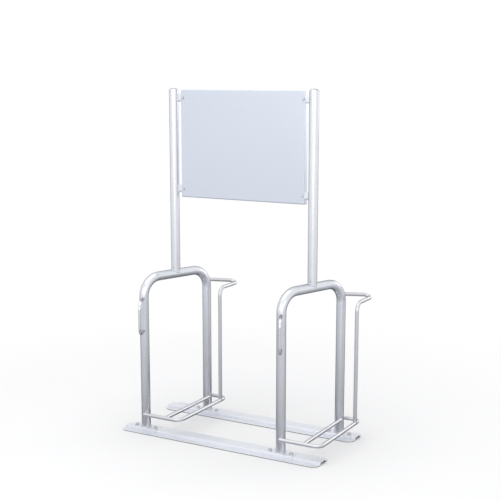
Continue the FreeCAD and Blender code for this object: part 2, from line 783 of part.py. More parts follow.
doc.recompute()
for item in doc.Objects:
    if "Invalid" in item.State or "Error" in item.State:
        raise ValueError("%s is %s" % (item.Label, item.State))
for piece in pieces:
    if piece.Shape.isNull() or not piece.Shape.isValid():
        raise ValueError("%s has no valid shape" % piece.Label)

os.makedirs("parts", exist_ok=True)
for piece in pieces:
    piece.Shape.exportStep("parts/%s.step" % piece.Label)
    print(piece.Label, len(piece.Shape.Solids), round(piece.Shape.Volume))
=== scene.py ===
import math

import bmesh
import bpy
from mathutils import Matrix, Vector


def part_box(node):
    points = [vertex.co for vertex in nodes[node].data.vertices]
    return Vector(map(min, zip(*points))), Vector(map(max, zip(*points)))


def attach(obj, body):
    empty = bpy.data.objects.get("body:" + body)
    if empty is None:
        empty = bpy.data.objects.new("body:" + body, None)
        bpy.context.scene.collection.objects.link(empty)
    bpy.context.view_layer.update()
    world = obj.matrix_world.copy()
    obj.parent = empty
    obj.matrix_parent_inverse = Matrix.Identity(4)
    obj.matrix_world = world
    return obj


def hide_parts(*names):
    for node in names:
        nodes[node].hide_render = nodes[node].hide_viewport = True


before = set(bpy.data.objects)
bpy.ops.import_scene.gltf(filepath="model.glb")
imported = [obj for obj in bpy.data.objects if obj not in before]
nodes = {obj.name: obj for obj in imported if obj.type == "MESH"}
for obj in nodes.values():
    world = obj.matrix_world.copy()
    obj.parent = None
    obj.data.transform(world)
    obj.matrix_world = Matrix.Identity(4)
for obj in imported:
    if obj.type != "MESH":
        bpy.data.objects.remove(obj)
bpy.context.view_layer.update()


# Ground rails. Two hat sections, bent from 3 mm galvanised sheet, lie on the
# ground and carry everything. The zinc shows a faint crystal pattern and soft
# rolling marks along the rail.

def link_nodes(tree, *pairs):
    """Wire each pair of sockets together."""
    for start, end in pairs:
        tree.links.new(start, end)


def zinc(name, pale, dull, rough, crystal=0.012, run=(1.0, 1.0, 1.0), edge=0.62, metal=1.0):
    """Galvanised steel: faint crystals, cloudy patches and fine marks that run one way."""
    crystal_share, mark_share = 0.3, 0.8
    finish = bpy.data.materials.new(name)
    finish.use_nodes = True
    tree = finish.node_tree
    shader = tree.nodes["Principled BSDF"]
    shader.inputs["Metallic"].default_value = metal
    shader.inputs["Specular Tint"].default_value = (edge, edge, edge, 1)
    place = tree.nodes.new("ShaderNodeTexCoord")
    crystals = tree.nodes.new("ShaderNodeTexVoronoi")
    crystals.feature = "SMOOTH_F1"
    crystals.inputs["Scale"].default_value = 1 / crystal
    crystals.inputs["Smoothness"].default_value = 0.35
    each = tree.nodes.new("ShaderNodeSeparateColor")
    stretch = tree.nodes.new("ShaderNodeMapping")
    stretch.inputs["Scale"].default_value = run
    marks = tree.nodes.new("ShaderNodeTexNoise")
    marks.inputs["Scale"].default_value = 26.0
    marks.inputs["Detail"].default_value = 2.0
    marks.inputs["Roughness"].default_value = 0.55
    clouds = tree.nodes.new("ShaderNodeTexNoise")
    clouds.inputs["Scale"].default_value = 7.0
    clouds.inputs["Detail"].default_value = 3.0
    blend = tree.nodes.new("ShaderNodeMath")
    blend.operation = "MULTIPLY_ADD"
    blend.inputs[1].default_value = crystal_share
    spread = tree.nodes.new("ShaderNodeMath")
    spread.operation = "MULTIPLY_ADD"
    spread.inputs[1].default_value = mark_share
    tone = tree.nodes.new("ShaderNodeMapRange")
    tone.inputs["From Min"].default_value = 0.62
    tone.inputs["From Max"].default_value = 1.5
    colour = tree.nodes.new("ShaderNodeMix")
    colour.data_type = "RGBA"
    colour.inputs["A"].default_value = (*dull, 1)
    colour.inputs["B"].default_value = (*pale, 1)
    gloss = tree.nodes.new("ShaderNodeMapRange")
    gloss.inputs["To Min"].default_value = rough[0]
    gloss.inputs["To Max"].default_value = rough[1]
    bump = tree.nodes.new("ShaderNodeBump")
    bump.inputs["Strength"].default_value = 0.3
    bump.inputs["Distance"].default_value = 0.00002
    link_nodes(
        tree,
        (place.outputs["Object"], crystals.inputs["Vector"]),
        (place.outputs["Object"], clouds.inputs["Vector"]),
        (place.outputs["Object"], stretch.inputs["Vector"]),
        (stretch.outputs["Vector"], marks.inputs["Vector"]),
        (crystals.outputs["Color"], each.inputs["Color"]),
        (each.outputs["Red"], blend.inputs[0]),
        (clouds.outputs["Fac"], blend.inputs[2]),
        (marks.outputs["Fac"], spread.inputs[0]),
        (blend.outputs["Value"], spread.inputs[2]),
        (spread.outputs["Value"], tone.inputs["Value"]),
        (tone.outputs["Result"], colour.inputs["Factor"]),
        (colour.outputs["Result"], shader.inputs["Base Color"]),
        (clouds.outputs["Fac"], gloss.inputs["Value"]),
        (gloss.outputs["Result"], shader.inputs["Roughness"]),
        (marks.outputs["Fac"], bump.inputs["Height"]),
        (bump.outputs["Normal"], shader.inputs["Normal"]),
    )
    return finish


def dress(name, finish):
    """Give a node the finish on every material slot."""
    for slot in nodes[name].material_slots:
        slot.material = finish


def paint_shade(finish, shade_colour, share):
    """Paint shade over a finish's own colour, by the share that a socket gives."""
    tree = finish.node_tree
    colour = tree.nodes["Principled BSDF"].inputs["Base Color"]
    shaded = tree.nodes.new("ShaderNodeMix")
    shaded.data_type = "RGBA"
    shaded.inputs["B"].default_value = (*shade_colour, 1)
    link_nodes(
        tree,
        (share, shaded.inputs["Factor"]),
        (colour.links[0].from_socket, shaded.inputs["A"]),
        (shaded.outputs["Result"], colour),
    )


def paint_hollow_shade(finish, middle, half, roof, ground_line):
    """Painted shade: near-black colour in the rail's hollow and, thinner, a painted contact shadow on
    the sheet's edge at the ground.
    """
    edge_share = 0.75
    tree = finish.node_tree
    place = tree.nodes.new("ShaderNodeTexCoord")
    part = tree.nodes.new("ShaderNodeSeparateXYZ")
    steps = {}
    for step, operation, second in (
        ("across", "SUBTRACT", middle), ("aside", "ABSOLUTE", 0.0), ("between", "LESS_THAN", half),
        ("below", "LESS_THAN", roof), ("inside", "MULTIPLY", 0.0), ("low", "LESS_THAN", ground_line),
        ("edge", "MULTIPLY", edge_share), ("painted_shade", "MAXIMUM", 0.0),
    ):
        steps[step] = tree.nodes.new("ShaderNodeMath")
        steps[step].operation = operation
        steps[step].inputs[1].default_value = second
    link_nodes(
        tree,
        (place.outputs["Object"], part.inputs["Vector"]),
        (part.outputs["Y"], steps["across"].inputs[0]),
        (steps["across"].outputs["Value"], steps["aside"].inputs[0]),
        (steps["aside"].outputs["Value"], steps["between"].inputs[0]),
        (part.outputs["Z"], steps["below"].inputs[0]),
        (steps["between"].outputs["Value"], steps["inside"].inputs[0]),
        (steps["below"].outputs["Value"], steps["inside"].inputs[1]),
        (part.outputs["Z"], steps["low"].inputs[0]),
        (steps["low"].outputs["Value"], steps["edge"].inputs[0]),
        (steps["inside"].outputs["Value"], steps["painted_shade"].inputs[0]),
        (steps["edge"].outputs["Value"], steps["painted_shade"].inputs[1]),
    )
    # Painted shade: the hollow and the ground edge are coloured near-black where shade falls.
    paint_shade(finish, (0.035, 0.035, 0.038), steps["painted_shade"].outputs["Value"])


rail_sheet = 0.003
hollow_width = 0.052
skin = 0.0005
ground_line = 0.0026
for name in ("front_rail", "rear_rail"):
    rail_zinc = zinc(
        name + "_zinc", (0.85, 0.87, 0.92), (0.80, 0.82, 0.87), (0.30, 0.38),
        run=(0.06, 2.6, 2.6), metal=0.55,
    )
    low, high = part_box(name)
    middle = (low[1] + high[1]) / 2
    roof = high[2] - rail_sheet
    # Painted shade in the rail's hollow and along its edge at the ground.
    paint_hollow_shade(rail_zinc, middle, hollow_width / 2 + skin, roof + skin, ground_line)
    dress(name, rail_zinc)


# Foot saddles. A short hat of 3 mm sheet under each leg, bent to lie over the
# rail's raised middle and bolted through it on both sides of the leg.

saddle_zinc = zinc(
    "saddle_zinc", (0.84, 0.86, 0.91), (0.79, 0.81, 0.86), (0.28, 0.36),
    run=(0.3, 1.6, 1.6), metal=0.65,
)
for side in ("left", "right"):
    dress(side + "_front_saddle", saddle_zinc)
    dress(side + "_rear_saddle", saddle_zinc)


# Hoops. Each is one 48.3 mm tube bent twice, welded to its two foot saddles with
# a bead all round the foot, and hot-dip galvanised afterwards, welds and all.

hoop_zinc = zinc(
    "hoop_zinc", (0.81, 0.83, 0.88), (0.73, 0.75, 0.80), (0.25, 0.31),
    crystal=0.006, run=(2.2, 2.2, 0.10), edge=0.03,
)
weld_zinc = zinc(
    "weld_zinc", (0.82, 0.83, 0.87), (0.68, 0.69, 0.73), (0.38, 0.50), crystal=0.004, metal=0.6
)
dress("left_hoop", hoop_zinc)
dress("right_hoop", hoop_zinc)

tube_radius = 0.02415
legs = {}
for side in ("left", "right"):
    for end in ("front", "rear"):
        low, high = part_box("%s_%s_saddle" % (side, end))
        legs[side, end] = Vector(((low[0] + high[0]) / 2, (low[1] + high[1]) / 2, high[2]))


def hoop_line(side):
    """The feet of a hoop's front and rear legs, and the direction from the one to the other."""
    front, rear = legs[side, "front"], legs[side, "rear"]
    return front, rear, Vector((rear.x - front.x, rear.y - front.y, 0)).normalized()


def bead(name, paths, width, closed=True):
    """A weld laid along each path, with the ripple that its run leaves."""
    ripple_length, ripple_share = 0.0026, 0.11
    line = bpy.data.curves.new(name, "CURVE")
    line.dimensions = "3D"
    line.bevel_depth = width / 2
    line.bevel_resolution = 2
    line.use_fill_caps = not closed
    for path in paths:
        run = line.splines.new("POLY")
        run.points.add(len(path) - 1)
        run.use_cyclic_u = closed
        travelled = 0.0
        for i, (point, spot) in enumerate(zip(run.points, path)):
            travelled += (spot - path[i - 1]).length if i else 0.0
            point.co = (*spot, 1)
            point.radius = 1.0 + ripple_share * math.cos(travelled / ripple_length * 2 * math.pi)
    drawn = bpy.data.objects.new(name, line)
    mesh = bpy.data.meshes.new_from_object(drawn)
    bpy.data.objects.remove(drawn)
    mesh.shade_smooth()
    mesh.materials.clear()
    mesh.materials.append(weld_zinc)
    piece = bpy.data.objects.new(name, mesh)
    bpy.context.scene.collection.objects.link(piece)
    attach(piece, "root")


def outside_tube(spot, direction, radius):
    """A function that tells how far a point is outside a straight tube."""
    def gap(point):
        off = point - spot
        return (off - direction * off.dot(direction)).length - radius
    return gap


def above_level(height):
    """A function that tells how far a point is above a level."""
    def gap(point):
        return point.z - height
    return gap


def seam(start, direction, radius, gap, reach):
    """The line round a bar where it meets another surface, found by sliding along the bar."""
    spacing = 0.0009
    side = direction.orthogonal().normalized()
    other = direction.cross(side)
    steps = round(2 * math.pi * radius / spacing)
    line = []
    for i in range(steps):
        angle = 2 * math.pi * i / steps
        spot = start + (side * math.cos(angle) + other * math.sin(angle)) * radius
        near, far = 0.0, reach
        for halving in range(20):
            middle = (near + far) / 2
            if gap(spot + direction * middle) > 0:
                near = middle
            else:
                far = middle
        line.append(spot + direction * near)
    return line


DOWN = Vector((0, 0, -1))
foot_bead = 0.0072
corner_fill = 0.0012
run_down = 0.02
for side in ("left", "right"):
    feet = []
    for end in ("front", "rear"):
        foot = legs[side, end]
        saddle = above_level(foot.z + corner_fill)
        feet.append(seam(foot - DOWN * run_down, DOWN, tube_radius + corner_fill, saddle, run_down))
    bead(side + "_hoop_foot_welds", feet, foot_bead)


# Posts. A tube stands on the middle of each hoop's top bar. Its foot is cut to
# the bar's round and welded on, and a pressed domed cap closes its top.

post_zinc = zinc(
    "post_zinc", (0.82, 0.84, 0.88), (0.74, 0.76, 0.80), (0.25, 0.31),
    crystal=0.006, run=(2.2, 2.2, 0.10), edge=0.03,
)
cap_zinc = zinc(
    "cap_zinc", (0.76, 0.77, 0.80), (0.70, 0.71, 0.74), (0.24, 0.30), crystal=0.008, edge=0.3
)
for side in ("left", "right"):
    dress(side + "_post", post_zinc)
    dress(side + "_post_cap", cap_zinc)

hoop_height = 0.835
post_bead = 0.0062
bead_lift = 0.001
post_draw_in = 0.99
run_down = 0.05
for side in ("left", "right"):
    front, rear, along = hoop_line(side)
    crown = Vector(((front.x + rear.x) / 2, (front.y + rear.y) / 2, hoop_height))
    top_bar = outside_tube(crown, along, tube_radius + bead_lift)
    foot = seam(crown - DOWN * run_down, DOWN, tube_radius * post_draw_in, top_bar, run_down)
    bead(side + "_post_foot_weld", [foot], post_bead)


# Wheel holders. Round bar of 20 mm: a loop round three sides of the tyre's slot,
# a straight bar along its near side, and an upright whose top is bent to a hook.
# Every end is cut to fit the tube or bar that it meets, and welded all round.

bar_zinc = zinc(
    "bar_zinc", (0.72, 0.73, 0.76), (0.67, 0.68, 0.71), (0.34, 0.42), crystal=0.009, edge=0.3
)
for side in ("left", "right"):
    for piece in ("wheel_loop", "inner_bar", "upright"):
        dress("%s_%s" % (side, piece), bar_zinc)

bar_radius = 0.010
holder_height = 0.094
bar_stand = 0.03015
inner_bar_offset = 0.144
outer_bar_offset = 0.234
upright_offset = 0.391
bar_start = 0.008
hoop_bend = 0.100
hook_height = 0.738
hook_rise = 0.035
hook_reach = 0.159
hook_bend = 0.021
bar_draw_in = 0.97
upright_squeeze = 0.77
bar_bead = 0.0046


def end_seam(leg, toward):
    """Round the loop's end where it lies against a leg: up its cut face and back along the bar."""
    half_round, straight = 12, 14
    line = []
    deepest = math.sqrt(tube_radius ** 2 - bar_start ** 2)
    widest = math.acos((bar_stand - deepest) / bar_radius)
    for i in range(2 * half_round + 1):
        angle = widest * (i / half_round - 1)
        out = bar_stand - bar_radius * math.cos(angle)
        across = math.sqrt(max(tube_radius ** 2 - out ** 2, bar_start ** 2))
        height = holder_height + bar_radius * math.sin(angle)
        line.append(Vector((leg.x + across, leg.y + out * toward, height)))
    top, bottom = line[-1], line[0]
    return line + [top.lerp(bottom, i / straight) for i in range(1, straight)]


def outside_hoop_bend(rear, along):
    """A function that tells how far a point is outside the hoop's rear bend."""
    centre = Vector((rear.x, rear.y, hoop_height - hoop_bend)) - along * hoop_bend
    across = Vector((along.y, -along.x, 0))

    def gap(point):
        off = point - centre
        aside = off.dot(across)
        return math.hypot((off - across * aside).length - hoop_bend, aside) - tube_radius
    return gap


def inner_bar_seams(front, rear):
    """The inner bar's two ends: on the loop's front side and on the rear leg."""
    run_back = 0.05
    inner = Vector((front.x + inner_bar_offset, front.y, holder_height))
    spot = Vector((0, front.y - bar_stand, holder_height))
    loop_front = outside_tube(spot, Vector((1, 0, 0)), bar_radius)
    at_loop = seam(inner, Vector((0, -1, 0)), bar_radius * bar_draw_in, loop_front, bar_stand)
    rear_leg = outside_tube(rear, Vector((0, 0, 1)), tube_radius)
    inner.y = rear.y - run_back
    return [at_loop, seam(inner, Vector((0, 1, 0)), bar_radius, rear_leg, run_back)]


def upright_seam(stand):
    """The upright's foot on the loop's long bar, drawn in so that it stays on the bar."""
    run_down = 0.03
    long_bar = outside_tube(stand, Vector((0, 1, 0)), bar_radius)
    line = seam(stand - DOWN * run_down, DOWN, bar_radius * bar_draw_in, long_bar, run_down)
    for spot in line:
        spot.x = stand.x + (spot.x - stand.x) * upright_squeeze
    return line


def hook_seam(stand, rear, along):
    """The hook's end on the hoop's rear bend, where the straight after the hook's turn leads."""
    run_in = 0.06
    shoulder = Vector((stand.x, stand.y, hook_height))
    home = Vector((rear.x, rear.y, hook_height + hook_rise))
    across = Vector((home.x - shoulder.x, 0, home.z - shoulder.z))
    width = across.length
    across.normalize()
    back = home.y - shoulder.y - hook_reach
    to_leg = math.atan2(back, hook_bend - width) % (2 * math.pi)
    turn = to_leg - math.acos(hook_bend / math.hypot(back, hook_bend - width))
    centre = shoulder + Vector((0, hook_reach, 0)) + across * hook_bend
    behind = Vector((0, hook_bend * math.sin(turn), 0))
    last = centre - across * (hook_bend * math.cos(turn)) + behind
    homeward = (home - last).normalized()
    gap = outside_hoop_bend(rear, along)
    return seam(home - homeward * run_in, homeward, bar_radius, gap, run_in)


for side in ("left", "right"):
    front, rear, along = hoop_line(side)
    stand = Vector((front.x + outer_bar_offset, front.y + upright_offset, holder_height))
    ends = [end_seam(front, -1), end_seam(rear, 1)] + inner_bar_seams(front, rear)
    ends += [upright_seam(stand), hook_seam(stand, rear, along)]
    bead(side + "_holder_welds", ends, bar_bead)


# Lock rings. A D of 14 mm bar on the front leg, for a lock or a chain, with both
# ends cut to the leg's round and welded.

ring_zinc = zinc(
    "ring_zinc", (0.84, 0.85, 0.88), (0.76, 0.77, 0.80), (0.18, 0.25), crystal=0.009, edge=0.3
)
ring_radius = 0.007
ring_turn = 24.5
ring_top = 0.730
ring_depth = 0.173
ring_bead = 0.0040
run_in = 0.05
for side in ("left", "right"):
    dress(side + "_lock_ring", ring_zinc)
    leg = legs[side, "front"]
    turn = math.radians(ring_turn - 90)
    inward = Vector((-math.cos(turn), -math.sin(turn), 0))
    front_leg = outside_tube(leg, Vector((0, 0, 1)), tube_radius)
    ends = []
    for height in (ring_top, ring_top - ring_depth):
        arm = Vector((leg.x, leg.y, height)) - inward * run_in
        ends.append(seam(arm, inward, ring_radius, front_leg, run_in))
    bead(side + "_ring_welds", ends, ring_bead)


# Notice board. A tray folded from 2 mm sheet and coated pale blue grey, bolted
# through its face to four flat lugs that are welded to the posts. Painted shade
# lays a thin grey line along the lower fold and under the lugs.

def coating(name, pale, dull, rough):
    """Smooth baked coating with a faint orange peel and a soft cloudiness."""
    finish = bpy.data.materials.new(name)
    finish.use_nodes = True
    tree = finish.node_tree
    shader = tree.nodes["Principled BSDF"]
    shader.inputs["Metallic"].default_value = 0.75
    place = tree.nodes.new("ShaderNodeTexCoord")
    clouds = tree.nodes.new("ShaderNodeTexNoise")
    clouds.inputs["Scale"].default_value = 3.0
    clouds.inputs["Detail"].default_value = 5.0
    colour = tree.nodes.new("ShaderNodeMix")
    colour.data_type = "RGBA"
    colour.inputs["A"].default_value = (*dull, 1)
    colour.inputs["B"].default_value = (*pale, 1)
    gloss = tree.nodes.new("ShaderNodeMapRange")
    gloss.inputs["To Min"].default_value = rough[0]
    gloss.inputs["To Max"].default_value = rough[1]
    peel = tree.nodes.new("ShaderNodeTexNoise")
    peel.inputs["Scale"].default_value = 420.0
    peel.inputs["Detail"].default_value = 2.0
    bump = tree.nodes.new("ShaderNodeBump")
    bump.inputs["Strength"].default_value = 0.2
    bump.inputs["Distance"].default_value = 0.00006
    link_nodes(
        tree,
        (place.outputs["Object"], clouds.inputs["Vector"]),
        (place.outputs["Object"], peel.inputs["Vector"]),
        (clouds.outputs["Fac"], colour.inputs["Factor"]),
        (colour.outputs["Result"], shader.inputs["Base Color"]),
        (clouds.outputs["Fac"], gloss.inputs["Value"]),
        (gloss.outputs["Result"], shader.inputs["Roughness"]),
        (peel.outputs["Fac"], bump.inputs["Height"]),
        (bump.outputs["Normal"], shader.inputs["Normal"]),
    )
    return finish


def paint_shade_below(finish, low, depth, shade_colour):
    """Painted shade along a piece's lowest edge, fading out upwards."""
    tree = finish.node_tree
    place = tree.nodes.new("ShaderNodeTexCoord")
    height = tree.nodes.new("ShaderNodeSeparateXYZ")
    share = tree.nodes.new("ShaderNodeMapRange")
    share.inputs["From Min"].default_value = low
    share.inputs["From Max"].default_value = low + depth
    share.inputs["To Min"].default_value = 1.0
    share.inputs["To Max"].default_value = 0.0
    link_nodes(
        tree,
        (place.outputs["Object"], height.inputs["Vector"]),
        (height.outputs["Z"], share.inputs["Value"]),
    )
    paint_shade(finish, shade_colour, share.outputs["Result"])


board_coat = coating("board_coat", (0.680, 0.727, 0.812), (0.650, 0.697, 0.782), (0.36, 0.42))
low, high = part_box("notice_board")
fold_shade_depth = 0.007
# Painted shade: a grey line along the board's lower fold.
paint_shade_below(board_coat, low[2], fold_shade_depth, (0.36, 0.39, 0.43))
dress("notice_board", board_coat)

lug_zinc = {}
lug_shade_depth = 0.011
for level in ("top", "bottom"):
    lug_zinc[level] = saddle_zinc.copy()
    lug_zinc[level].name = level + "_lug_zinc"
    low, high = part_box("left_%s_tab" % level)
    # Painted shade: a grey line along each lug's lower edge.
    paint_shade_below(lug_zinc[level], low[2], lug_shade_depth, (0.40, 0.40, 0.43))

lug_half = 0.0025
lug_bead = 0.0042
bead_proud = 0.0004
end_gap = 0.001
bead_steps = 44
for side, inward in (("left", 1), ("right", -1)):
    low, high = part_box(side + "_post")
    x, y = (low[0] + high[0]) / 2, (low[1] + high[1]) / 2
    reach = math.sqrt(tube_radius ** 2 - lug_half ** 2)
    lines = []
    for level in ("top", "bottom"):
        dress("%s_%s_tab" % (side, level), lug_zinc[level])
        low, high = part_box("%s_%s_tab" % (side, level))
        run = high[2] - low[2] - 2 * end_gap
        heights = [low[2] + end_gap + run * i / bead_steps for i in range(bead_steps + 1)]
        for face in (-1, 1):
            beside = y + (lug_half + bead_proud) * face
            lines.append([Vector((x + reach * inward, beside, z)) for z in heights])
    bead(side + "_lug_welds", lines, lug_bead, closed=False)


# Bolts, washers and nuts. Zinc-plated hexagon bolts hold the saddles to the rails
# and the board to its lugs. Heads and nuts are turned with a 30 degree chamfer
# before their six flats are cut, and the shank carries a rolled thread.

plating = zinc(
    "bolt_plating", (0.74, 0.75, 0.77), (0.60, 0.61, 0.64), (0.24, 0.34), crystal=0.003, edge=0.3
)


def turned(profile, closed):
    """A shape turned about Z from points of radius and height."""
    steps, same_spot = 36, 0.000001
    shape = bmesh.new()
    spots = [shape.verts.new((radius, 0, height)) for radius, height in profile]
    edges = [shape.edges.new(pair) for pair in zip(spots, spots[1:])]
    if closed:
        edges.append(shape.edges.new((spots[-1], spots[0])))
    bmesh.ops.spin(
        shape, geom=spots + edges, cent=(0, 0, 0), axis=(0, 0, 1), dvec=(0, 0, 0),
        angle=2 * math.pi, steps=steps, use_merge=True, use_duplicate=False,
    )
    bmesh.ops.remove_doubles(shape, verts=shape.verts, dist=same_spot)
    bmesh.ops.recalc_face_normals(shape, faces=shape.faces)
    return shape


def cut_flats(shape, flats):
    """Cut a turned blank to six flats."""
    for i in range(6):
        angle = math.radians(30 + 60 * i)
        out = Vector((math.cos(angle), math.sin(angle), 0))
        whole = shape.verts[:] + shape.edges[:] + shape.faces[:]
        cut = bmesh.ops.bisect_plane(
            shape, geom=whole, plane_co=out * flats / 2, plane_no=out, clear_outer=True,
        )
        rim = [edge for edge in cut["geom_cut"] if isinstance(edge, bmesh.types.BMEdge)]
        bmesh.ops.holes_fill(shape, edges=rim, sides=0)
    bmesh.ops.recalc_face_normals(shape, faces=shape.faces)
    return shape


def chamfered(flats):
    """A hexagon's corner radius, the radius of its flat face, and how far the chamfer drops."""
    face_share, slope = 0.47, math.radians(30)
    corner = flats / math.sqrt(3)
    flat_top = flats * face_share
    return corner, flat_top, (corner - flat_top) * math.tan(slope)


def hexagon_bolt(radius, flats, head, length, pitch):
    """A bolt with the face under its head at zero and its shank going down."""
    step, plain, point, last_turn = 0.0005, 0.002, 0.0010, 0.0012
    corner, flat_top, drop = chamfered(flats)
    profile = [
        (0, head), (flat_top, head), (corner, head - drop), (corner, step), (flat_top, step),
        (flat_top, 0), (radius, 0),
    ]
    height = -plain
    groove = pitch / 2
    while height - pitch > last_turn - length:
        profile += [(radius, height), (radius - groove, height - groove)]
        height -= pitch
    profile += [(radius, height), (radius, point - length), (radius - point, -length), (0, -length)]
    return cut_flats(turned(profile, False), flats)


def hexagon_nut(bore, flats, height):
    """A nut chamfered on both faces, standing on zero."""
    lead = 0.0004
    corner, flat_top, drop = chamfered(flats)
    profile = [
        (bore, lead), (bore, height - lead), (bore + lead, height), (flat_top, height),
        (corner, height - drop), (corner, drop), (flat_top, 0), (bore + lead, 0),
    ]
    return cut_flats(turned(profile, True), flats)


def washer(bore, radius, thick):
    """A punched washer with its edges broken, lying on zero."""
    soft_share = 0.15
    soft = thick * soft_share
    profile = [
        (bore, soft), (bore, thick - soft), (bore + soft, thick), (radius - soft, thick),
        (radius, thick - soft), (radius, soft), (radius - soft, 0), (bore + soft, 0),
    ]
    return turned(profile, True)


def set_out(name, shape, places):
    """One piece with a copy of the shape at each place, standing for the node of that name."""
    turn_each, sharp = math.radians(17), math.radians(28)
    pattern = bpy.data.meshes.new(name + "_pattern")
    shape.to_mesh(pattern)
    shape.free()
    together = bmesh.new()
    for i, place in enumerate(places):
        one = pattern.copy()
        one.transform(place @ Matrix.Rotation(turn_each * i, 4, "Z"))
        together.from_mesh(one)
        bpy.data.meshes.remove(one)
    for face in together.faces:
        face.smooth = True
    for edge in together.edges:
        edge.smooth = edge.calc_face_angle(0.0) < sharp
    mesh = bpy.data.meshes.new(name + "_detail")
    together.to_mesh(mesh)
    together.free()
    bpy.data.meshes.remove(pattern)
    mesh.materials.append(plating)
    piece = bpy.data.objects.new(name + "_detail", mesh)
    bpy.context.scene.collection.objects.link(piece)
    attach(piece, "root")
    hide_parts(name)


def shifted(places, height):
    """The same places, moved along their own axes."""
    return [place @ Matrix.Translation((0, 0, height)) for place in places]


def fasten(kind, places, radius, flats, head, pitch, washer_radius, washer_thick, nut_height, sheets):
    """A washer, bolt and nut at each place, through sheets of this thickness in all."""
    hole_play, nut_play, overrun = 0.0005, 0.0001, 0.001
    length = washer_thick + sheets + nut_height + overrun
    disc = washer(radius + hole_play, washer_radius, washer_thick)
    bolt = hexagon_bolt(radius, flats, head, length, pitch)
    nut = hexagon_nut(radius + nut_play, flats, nut_height)
    set_out(kind + "_washers", disc, places)
    set_out(kind + "_bolts", bolt, shifted(places, washer_thick))
    set_out(kind + "_nuts", nut, shifted(places, -sheets - nut_height))


saddle_bolt_offset = 0.060
foot_places = []
for foot in legs.values():
    for away in (-saddle_bolt_offset, saddle_bolt_offset):
        foot_places.append(Matrix.Translation(foot + Vector((away, 0, 0))))
fasten(
    "base", foot_places, radius=0.005, flats=0.017, head=0.0064, pitch=0.0015,
    washer_radius=0.010, washer_thick=0.002, nut_height=0.008, sheets=0.006,
)

side_inset = 0.011
end_inset = 0.044
face_front = Matrix.Rotation(math.radians(90), 4, "X")
low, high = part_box("notice_board")
board_places = []
for x in (low[0] + side_inset, high[0] - side_inset):
    for z in (low[2] + end_inset, high[2] - end_inset):
        board_places.append(Matrix.Translation((x, low[1], z)) @ face_front)
fasten(
    "board", board_places, radius=0.004, flats=0.013, head=0.0053, pitch=0.00125,
    washer_radius=0.008, washer_thick=0.0016, nut_height=0.0065, sheets=0.007,
)


# Studio. A pale floor that fades into a white surround, and five soft lamps: above,
# beside the camera, in front on the left, on the right and behind on the right.

def direct_sight(tree):
    """A socket that is 1 for what is seen straight, in the metal or through something clear."""
    ray = tree.nodes.new("ShaderNodeLightPath")
    either = tree.nodes.new("ShaderNodeMath")
    either.operation = "MAXIMUM"
    any_seen = tree.nodes.new("ShaderNodeMath")
    any_seen.operation = "MAXIMUM"
    link_nodes(
        tree,
        (ray.outputs["Is Camera Ray"], either.inputs[0]),
        (ray.outputs["Is Glossy Ray"], either.inputs[1]),
        (either.outputs["Value"], any_seen.inputs[0]),
        (ray.outputs["Is Transmission Ray"], any_seen.inputs[1]),
    )
    return any_seen.outputs["Value"]


def pale_floor():
    """Pale paper with painted shade, a little greyer under the stand, that turns into the white
    surround.
    """
    finish = bpy.data.materials.new("studio_floor")
    finish.use_nodes = True
    tree = finish.node_tree
    shader = tree.nodes["Principled BSDF"]
    shader.inputs["Roughness"].default_value = 0.9
    shader.inputs["Specular IOR Level"].default_value = 0.1
    place = tree.nodes.new("ShaderNodeTexCoord")
    reach = tree.nodes.new("ShaderNodeVectorMath")
    reach.operation = "LENGTH"
    under = tree.nodes.new("ShaderNodeMapRange")
    under.interpolation_type = "SMOOTHSTEP"
    under.inputs["From Min"].default_value = 0.1
    under.inputs["From Max"].default_value = 1.3
    # Painted shade: the paper is darker near the stand and paler further out.
    paper_and_shade = tree.nodes.new("ShaderNodeMix")
    paper_and_shade.data_type = "RGBA"
    paper_and_shade.inputs["A"].default_value = (0.895, 0.89, 0.88, 1)
    paper_and_shade.inputs["B"].default_value = (0.962, 0.957, 0.95, 1)
    fade = tree.nodes.new("ShaderNodeMapRange")
    fade.interpolation_type = "SMOOTHSTEP"
    fade.inputs["From Min"].default_value = 0.9
    fade.inputs["From Max"].default_value = 2.8
    white = tree.nodes.new("ShaderNodeEmission")
    white.inputs["Strength"].default_value = 1.0
    share = tree.nodes.new("ShaderNodeMath")
    share.operation = "MULTIPLY"
    mix = tree.nodes.new("ShaderNodeMixShader")
    link_nodes(
        tree,
        (place.outputs["Object"], reach.inputs[0]),
        (reach.outputs["Value"], under.inputs["Value"]),
        (under.outputs["Result"], paper_and_shade.inputs["Factor"]),
        (paper_and_shade.outputs["Result"], shader.inputs["Base Color"]),
        (reach.outputs["Value"], fade.inputs["Value"]),
        (direct_sight(tree), share.inputs[0]),
        (fade.outputs["Result"], share.inputs[1]),
        (share.outputs["Value"], mix.inputs["Fac"]),
        (shader.outputs["BSDF"], mix.inputs[1]),
        (white.outputs["Emission"], mix.inputs[2]),
        (mix.outputs["Shader"], tree.nodes["Material Output"].inputs["Surface"]),
    )
    return finish


def round_sheet(radius):
    """A flat round sheet about the stand."""
    segments = 96
    sheet = bmesh.new()
    bmesh.ops.create_circle(sheet, cap_ends=True, segments=segments, radius=radius)
    return sheet


def laid_out(name, sheet, finish, height):
    """A sheet of the studio, laid at a height."""
    mesh = bpy.data.meshes.new(name)
    sheet.to_mesh(mesh)
    sheet.free()
    mesh.materials.append(finish)
    laid = bpy.data.objects.new(name, mesh)
    laid.location = (0, 0, height)
    bpy.context.scene.collection.objects.link(laid)
    return laid


floor_radius = 40.0
floor_height = -0.0005
floor = laid_out("studio_floor", round_sheet(floor_radius), pale_floor(), floor_height)

